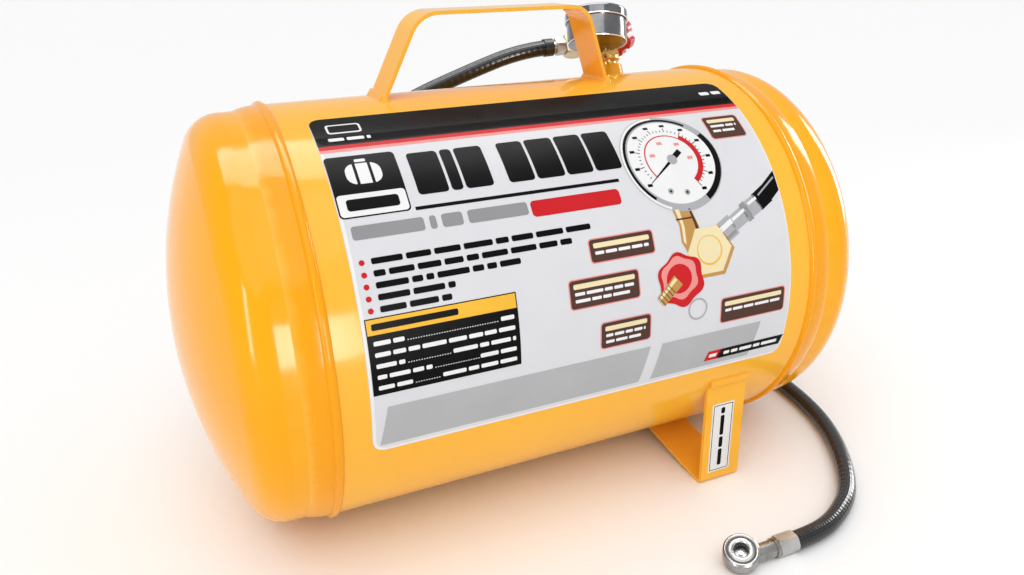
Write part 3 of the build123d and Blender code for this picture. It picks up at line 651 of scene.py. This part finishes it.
band("black", GX, GS, 28.6, 32.4, -60, 30, 6)
disc("white", GX, GS, 28.4, 7, 64)
ZERO = 225 + math.degrees(LEAN)
band("red", GX, GS, 17.0, 17.8, ZERO, ZERO - 270, 8)
band("red", GX, GS, 17.8, 20.4, ZERO - 162, ZERO - 270, 8)
for index in range(41):
    degrees = ZERO - 6.75 * index
    reach = 23.4 if index % 4 == 0 else 21.8
    bar("black", *on_picture(20.4, degrees), *on_picture(reach, degrees), 0.5, 8)
for index in range(11):
    x, s = on_picture(25.4, ZERO - 27 * index)
    rect("black", x - 1.6, x + 1.6, s - 0.9, s + 0.9, 8)
    if 0 < index < 10 and index % 2 == 0:
        x, s = on_picture(12.6, ZERO - 27 * index)
        rect("pink", x - 1.8, x + 1.8, s - 1.0, s + 1.0, 8)
bar("black", *on_picture(-9, ZERO), GX, GS, 3.4, 9)
bar("black", GX, GS, *on_picture(21, ZERO), 2.0, 9, 0.5)
disc("silver", GX, GS, 3.3, 10, 24)
for x in (-5, 6):
    disc("silver", *pic(x, -21), 1.9, 8, 16)
    disc("black", *pic(x, -21), 0.8, 9, 10)


def flat_mesh(name, outlines, transform, cuts=()):
    """One mesh of filled outlines. transform places each flat point; cuts split it along s."""
    bm = bmesh.new()
    for points in outlines:
        if len(points) < 3:
            continue
        verts = [bm.verts.new((x, s, 0)) for x, s in points]
        bm.faces.new(verts)
    bm.faces.ensure_lookup_table()
    bmesh.ops.recalc_face_normals(bm, faces=bm.faces)
    for face in bm.faces:
        if face.normal.z < 0:
            face.normal_flip()
    for cut in cuts:
        geometry = bm.verts[:] + bm.edges[:] + bm.faces[:]
        bmesh.ops.bisect_plane(bm, geom=geometry, plane_co=(0, cut, 0), plane_no=(0, 1, 0), dist=1e-6)
    for vert in bm.verts:
        vert.co = transform(vert.co.x, vert.co.y)
    bmesh.ops.triangulate(bm, faces=[face for face in bm.faces if len(face.verts) > 4])
    mesh = bpy.data.meshes.new(name)
    bm.to_mesh(mesh)
    bm.free()
    return mesh


CUT_EVERY = 3.0
CUTS = [S_LOW + CUT_EVERY * index for index in range(int((S_HIGH - S_LOW) / CUT_EVERY) + 1)]
for (colour, layer), outlines in sorted(prints.items(), key=lambda item: (item[0][1], item[0][0])):
    material = PANEL if colour == "panel" else INKS[colour]
    name = f"print_{colour}_{layer}"
    mesh = flat_mesh(name, outlines, lambda x, s: wrap(x, s, layer), CUTS)
    place(add_mesh(name, mesh, material), "tank")


# Foot sticker: a border and four bars

STICKER_LOW, STICKER_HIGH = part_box("foot_sticker")
W = (STICKER_HIGH.x - STICKER_LOW.x) / MM
H = (STICKER_HIGH.z - STICKER_LOW.z) / MM
INK_STEP = 0.00006


def on_sticker(lift):
    front = STICKER_LOW.y - lift * INK_STEP
    return lambda x, s: Vector((STICKER_LOW.x + x * MM, front, STICKER_LOW.z + s * MM))


prints = {}
for x0, x1, s0, s1 in (
    (1, W - 1, 1, 1.5), (1, W - 1, H - 1.5, H - 1), (1, 1.5, 1, H - 1), (W - 1.5, W - 1, 1, H - 1),
):
    rect("black", x0, x1, s0, s1, 1)
s = 4.5
for length in (12.5, 8.0, 15.0, 4.5):
    rect("black", W / 2 - 1.5, W / 2 + 1.5, s, s + length, 1, 0, 1.0)
    s += length + 1.4
for (colour, layer), outlines in prints.items():
    name = f"sticker_{colour}_{layer}"
    mesh = flat_mesh(name, outlines, on_sticker(layer))
    place(add_mesh(name, mesh, INKS[colour]), "tank")


# Gauge dial: scale, figures and a red zone, in the dial's own frame

dial_out = -axis_of("pointer_turn")
gauge_at = Vector(JOINTS["pointer_turn"]["pos_m"])
dial_up = (Vector(JOINTS["sector_swing"]["pos_m"]) - gauge_at).normalized()
dial_right = dial_up.cross(dial_out)
dial_face = max((v.co - gauge_at).dot(dial_out) for v in NODES["gauge_dial"].data.vertices)


def on_dial(lift):
    base = gauge_at + dial_out * (dial_face + lift * INK_STEP)
    return lambda x, s: base + dial_right * x * MM + dial_up * s * MM


def on_circle(radius, degrees):
    return radius * math.cos(math.radians(degrees)), radius * math.sin(math.radians(degrees))


DIAL_START = 225
DIAL_END = -45
prints = {}
band("red", 0, 0, 11.3, 11.7, DIAL_START, DIAL_END, 1)
band("red", 0, 0, 13.6, 15.4, 63, DIAL_END, 1)
for index in range(41):
    degrees = DIAL_START - 6.75 * index
    reach = 16.6 if index % 4 == 0 else 15.2
    bar("black", *on_circle(13.6, degrees), *on_circle(reach, degrees), 0.3, 2)
for index in range(15):
    degrees = DIAL_START - 19.3 * index
    bar("red", *on_circle(11.5, degrees), *on_circle(10.4, degrees), 0.25, 2)
for (colour, layer), outlines in prints.items():
    name = f"dial_{colour}_{layer}"
    mesh = flat_mesh(name, outlines, on_dial(layer))
    place(add_mesh(name, mesh, INKS[colour]), "tank")


def figure(name, text, x, s, size, material):
    """A flat number on the dial."""
    data = bpy.data.curves.new(name, "FONT")
    data.body = text
    data.size = size * MM
    data.align_x = "CENTER"
    data.align_y = "CENTER"
    obj = bpy.data.objects.new(name, data)
    scene.collection.objects.link(obj)
    data.materials.append(material)
    facing = Matrix((dial_right, dial_up, dial_out)).transposed().to_4x4()
    obj.matrix_world = Matrix.Translation(on_dial(2)(x, s)) @ facing
    place(obj, "tank")


for index in range(11):
    at = on_circle(18.1, DIAL_START - 27 * index)
    figure(f"figure_outer_{index}", str(20 * index), *at, 2.3, INKS["black"])
for index in range(7):
    at = on_circle(8.6, DIAL_START - 38.6 * index)
    figure(f"figure_inner_{index}", f"{0.2 * index:.1f}", *at, 2.0, INKS["red"])


# Springs of the relief valve and the fill core

coil("relief_spring", "relief_lift", "tank", 7, 0.35)
coil("valve_core_spring", "core_pin_push", "knob", 4, 0.17)


# Thread of the fill stem, and bright rims of the gauge

valve_axis = axis_of("knob_turn")
valve_at = Vector(JOINTS["knob_turn"]["pos_m"])
_, stem_end, stem_radius = reach_and_radius("fill_stem", valve_at, valve_axis)
THREAD_START, THREAD_STOP = 11.0, 1.2
PITCH = 0.8
profile = []
along = stem_end - THREAD_START
while along < stem_end - THREAD_STOP:
    profile += [(along, stem_radius + 0.02), (along + PITCH / 2, stem_radius + 0.3)]
    along += PITCH
turned("stem_thread", valve_at, valve_axis, profile, BRASS, "knob")
for name, node, up, inwards, thick in (
    ("bezel_rim", "gauge_bezel", 0.3, 0.0, 0.45),
    ("case_rim", "gauge_case", 0.6, 0.3, 0.5),
):
    low, _, radius = reach_and_radius(node, gauge_at, dial_out)
    profile = ring_profile(low + up, radius - inwards, thick)
    turned(name, gauge_at, dial_out, profile, RIM, "tank", 96)


# Stage and light

world = bpy.data.worlds.new("studio")
scene.world = world
world.use_nodes = True
world.node_tree.nodes["Background"].inputs["Color"].default_value = (1.0, 1.0, 1.0, 1.0)
world.node_tree.nodes["Background"].inputs["Strength"].default_value = 0.72

floor_mesh = bpy.data.meshes.new("floor")
FLOOR_HALF = 60.0  # metres, so that no edge shows
corners = [(x * FLOOR_HALF, y * FLOOR_HALF, 0) for x, y in ((-1, -1), (1, -1), (1, 1), (-1, 1))]
floor_mesh.from_pydata(corners, [], [(0, 1, 2, 3)])
floor_nodes = Nodes("floor_white")
floor_nodes.bump(floor_nodes.noise(30.0), 0.01, 0.0005)
floor_nodes.set(Base_Color=(0.93, 0.93, 0.93), Roughness=0.6)
floor = add_mesh("floor", floor_mesh, floor_nodes.material, False)
floor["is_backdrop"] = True


def aim(obj, at, target):
    obj.location = at
    obj.rotation_euler = (Vector(target) - Vector(at)).to_track_quat("-Z", "Y").to_euler()


def softbox(name, at, target, width, height, radiance):
    """A lit panel that is seen only in the gloss of the paint and the metal."""
    data = bpy.data.lights.new(name, "AREA")
    data.shape = "RECTANGLE"
    data.size = width
    data.size_y = height
    data.energy = radiance * math.pi * width * height
    obj = bpy.data.objects.new(name, data)
    scene.collection.objects.link(obj)
    aim(obj, at, target)
    obj.visible_diffuse = False


sun_data = bpy.data.lights.new("sky_panel", "SUN")
sun_data.energy = 1.25
sun_data.angle = math.radians(60)
sun = bpy.data.objects.new("sky_panel", sun_data)
scene.collection.objects.link(sun)
aim(sun, (-0.5, -0.9, 2.0), (0, 0, 0.1))
softbox("top_box", (-0.05, 0.30, 1.38), (-0.16, -0.06, 0.24), 1.5, 0.6, 8.5)
softbox("front_box", (-0.03, -1.31, 0.26), (-0.17, -0.12, 0.16), 0.26, 0.5, 22.0)
softbox("left_box", (-1.25, -0.85, 0.45), (-0.2, -0.05, 0.15), 0.16, 0.8, 20.0)
softbox("right_box", (1.4, 0.1, 0.5), (0.2, 0.0, 0.15), 0.35, 0.9, 12.0)

scene.view_settings.view_transform = "Standard"
scene.view_settings.look = "None"
scene.view_settings.exposure = 0.0

low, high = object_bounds()
